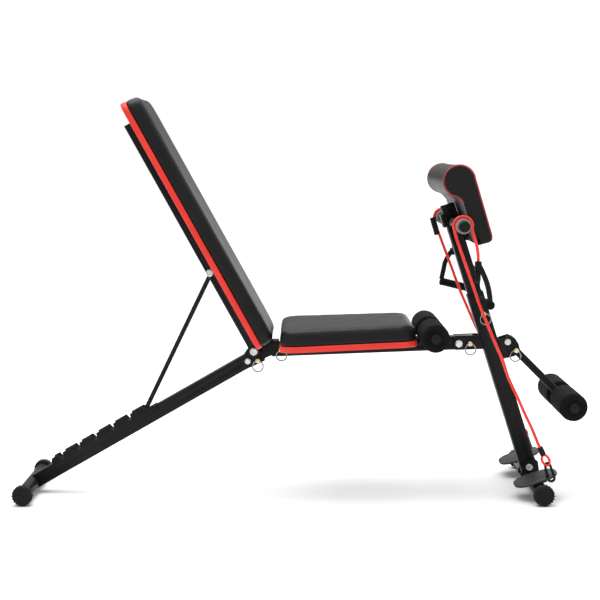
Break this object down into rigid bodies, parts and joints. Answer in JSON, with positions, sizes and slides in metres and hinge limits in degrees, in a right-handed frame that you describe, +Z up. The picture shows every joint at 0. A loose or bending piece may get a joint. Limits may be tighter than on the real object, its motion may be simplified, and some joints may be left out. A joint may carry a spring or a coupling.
{
  "type": "adjustable weight bench",
  "caption": "Folding incline weight bench with a ladder-adjusted backrest, seat, foam leg rollers, preacher pad on a telescoping post and two elastic pull cords.",
  "frame": {"origin": "on the floor under the middle of the bench", "axes": "+X from the backrest end to the leg-roller end, +Y to the far side, +Z up"},
  "size_m": [1.5402, 0.6, 1.0876],
  "materials": {
    "powder_coat": "satin",
    "zinc": "satin",
    "nickel": "polished",
    "black_plastic": "matte",
    "foam": "matte",
    "leatherette": "satin",
    "red_band": "satin",
    "cord_rubber": "satin",
    "grey_rubber": "matte",
    "webbing": "matte"
  },
  "bodies": {
    "bench_frame": {"seat_beam": "powder_coat", "centre_bracket": "powder_coat", "seat_board": "red_band", "seat_cushion": "leatherette", "thigh_crossbar": "powder_coat", "rear_leg_bolt": "zinc", "backrest_pivot_bolt": "zinc", "thigh_bar_cap_near": "black_plastic", "thigh_bar_cap_far": "black_plastic"},
    "rear_leg": {"rear_leg_tube": "powder_coat", "toothed_rack": "powder_coat", "rear_stabiliser": "powder_coat", "rear_foot_cap_near": "black_plastic", "rear_foot_cap_far": "black_plastic"},
    "rear_leg_lock": {"rear_leg_pull_pin": "nickel"},
    "seat_beam_lock": {"seat_beam_pull_pin": "nickel"},
    "backrest": {"backrest_board": "red_band", "backrest_cushion": "leatherette", "strut_bolt": "zinc", "backrest_rail_near": "powder_coat", "backrest_rail_far": "powder_coat"},
    "backrest_prop": {"backrest_strut": "powder_coat"},
    "thigh_roller_near_spin": {"thigh_roller_near": "foam"},
    "thigh_roller_far_spin": {"thigh_roller_far": "foam"},
    "front_post": {"post_outer_tube": "powder_coat", "fold_bracket": "powder_coat", "fold_bolt": "zinc", "leg_bracket": "powder_coat", "leg_pivot_bolt": "zinc", "front_stabiliser": "powder_coat", "base_bolt": "zinc", "front_foot_cap_near": "black_plastic", "front_foot_cap_far": "black_plastic", "foot_plate_near": "powder_coat", "foot_plate_far": "powder_coat", "snap_hook_near": "powder_coat", "snap_hook_far": "powder_coat"},
    "fold_lock": {"fold_pull_pin": "nickel"},
    "leg_lock": {"leg_pull_pin": "nickel"},
    "post_lock": {"post_pull_pin": "nickel"},
    "leg_developer": {"leg_arm": "powder_coat", "leg_bar_cap_near": "black_plastic", "leg_bar_cap_far": "black_plastic"},
    "leg_roller_near_spin": {"leg_roller_near": "foam"},
    "leg_roller_far_spin": {"leg_roller_far": "foam"},
    "upper_post": {"post_inner_tube": "powder_coat", "preacher_pad": "leatherette", "pulley_crossbar": "powder_coat", "pulley_bar_cap_near": "black_plastic", "pulley_bar_cap_far": "black_plastic", "cord_near": "cord_rubber", "cord_far": "cord_rubber", "cord_crimp_near": "black_plastic", "cord_crimp_far": "black_plastic"},
    "cord_sleeve_near_spin": {"cord_sleeve_near": "grey_rubber"},
    "cord_sleeve_far_spin": {"cord_sleeve_far": "grey_rubber"},
    "handle_near": {"handle_strap_near": "webbing", "handle_grip_near": "foam"},
    "handle_far": {"handle_strap_far": "webbing", "handle_grip_far": "foam"}
  },
  "joints": [
    {"name": "backrest_recline", "type": "hinge", "parent": "bench_frame", "child": "backrest", "pos_m": [-0.11933, 0, 0.395], "axis": [0, -1, 0], "range_deg": [0, 59.7]},
    {"name": "strut_swing", "type": "hinge", "parent": "backrest", "child": "backrest_prop", "pos_m": [-0.23558, 0, 0.6118], "axis": [0, -1, 0], "range_deg": [-80, 0]},
    {"name": "rear_leg_fold", "type": "hinge", "parent": "bench_frame", "child": "rear_leg", "pos_m": [-0.13713, 0, 0.3644], "axis": [0, 1, 0], "range_deg": [-120, 0]},
    {"name": "front_post_fold", "type": "hinge", "parent": "bench_frame", "child": "front_post", "pos_m": [0.44467, 0, 0.406], "axis": [0, 1, 0], "range_deg": [0, 100]},
    {"name": "post_height", "type": "slide", "parent": "front_post", "child": "upper_post", "axis": [-0.2952, 0, 0.9554], "range_m": [0, 0.075]},
    {"name": "leg_swing", "type": "hinge", "parent": "front_post", "child": "leg_developer", "pos_m": [0.57867, 0, 0.409], "axis": [0, -1, 0], "range_deg": [-26, 75]},
    {"name": "rear_leg_pin_pull", "type": "slide", "parent": "bench_frame", "child": "rear_leg_lock", "axis": [0, -1, 0], "range_m": [0, 0.008], "stiffness_N_per_m": 1500, "springref_m": -0.002},
    {"name": "seat_beam_pin_pull", "type": "slide", "parent": "bench_frame", "child": "seat_beam_lock", "axis": [0, -1, 0], "range_m": [0, 0.008], "stiffness_N_per_m": 1500, "springref_m": -0.002},
    {"name": "fold_pin_pull", "type": "slide", "parent": "front_post", "child": "fold_lock", "axis": [0, -1, 0], "range_m": [0, 0.008], "stiffness_N_per_m": 1500, "springref_m": -0.002},
    {"name": "leg_pin_pull", "type": "slide", "parent": "front_post", "child": "leg_lock", "axis": [0, -1, 0], "range_m": [0, 0.008], "stiffness_N_per_m": 1500, "springref_m": -0.002},
    {"name": "post_pin_pull", "type": "slide", "parent": "front_post", "child": "post_lock", "axis": [0, -1, 0], "range_m": [0, 0.008], "stiffness_N_per_m": 1500, "springref_m": -0.002},
    {"name": "thigh_roller_near_turn", "type": "hinge", "parent": "bench_frame", "child": "thigh_roller_near_spin", "pos_m": [0.36672, 0, 0.44005], "axis": [0, 1, 0], "continuous": true},
    {"name": "thigh_roller_far_turn", "type": "hinge", "parent": "bench_frame", "child": "thigh_roller_far_spin", "pos_m": [0.36672, 0, 0.44005], "axis": [0, 1, 0], "continuous": true},
    {"name": "leg_roller_near_turn", "type": "hinge", "parent": "leg_developer", "child": "leg_roller_near_spin", "pos_m": [0.7326, 0, 0.25182], "axis": [0, 1, 0], "continuous": true},
    {"name": "leg_roller_far_turn", "type": "hinge", "parent": "leg_developer", "child": "leg_roller_far_spin", "pos_m": [0.7326, 0, 0.25182], "axis": [0, 1, 0], "continuous": true},
    {"name": "cord_sleeve_near_turn", "type": "hinge", "parent": "upper_post", "child": "cord_sleeve_near_spin", "pos_m": [0.42847, 0, 0.742], "axis": [0, 1, 0], "continuous": true},
    {"name": "cord_sleeve_far_turn", "type": "hinge", "parent": "upper_post", "child": "cord_sleeve_far_spin", "pos_m": [0.42847, 0, 0.742], "axis": [0, 1, 0], "continuous": true},
    {"name": "handle_near_pull", "type": "slide", "parent": "upper_post", "child": "handle_near", "axis": [0.8, 0, -0.6], "range_m": [0, 0.25], "stiffness_N_per_m": 400, "springref_m": -0.005},
    {"name": "handle_far_pull", "type": "slide", "parent": "upper_post", "child": "handle_far", "axis": [0.8, 0, -0.6], "range_m": [0, 0.25], "stiffness_N_per_m": 400, "springref_m": -0.005}
  ],
  "couplings": [
    {"joint": "strut_swing", "follows": "backrest_recline", "ratio": -1.33}
  ]
}
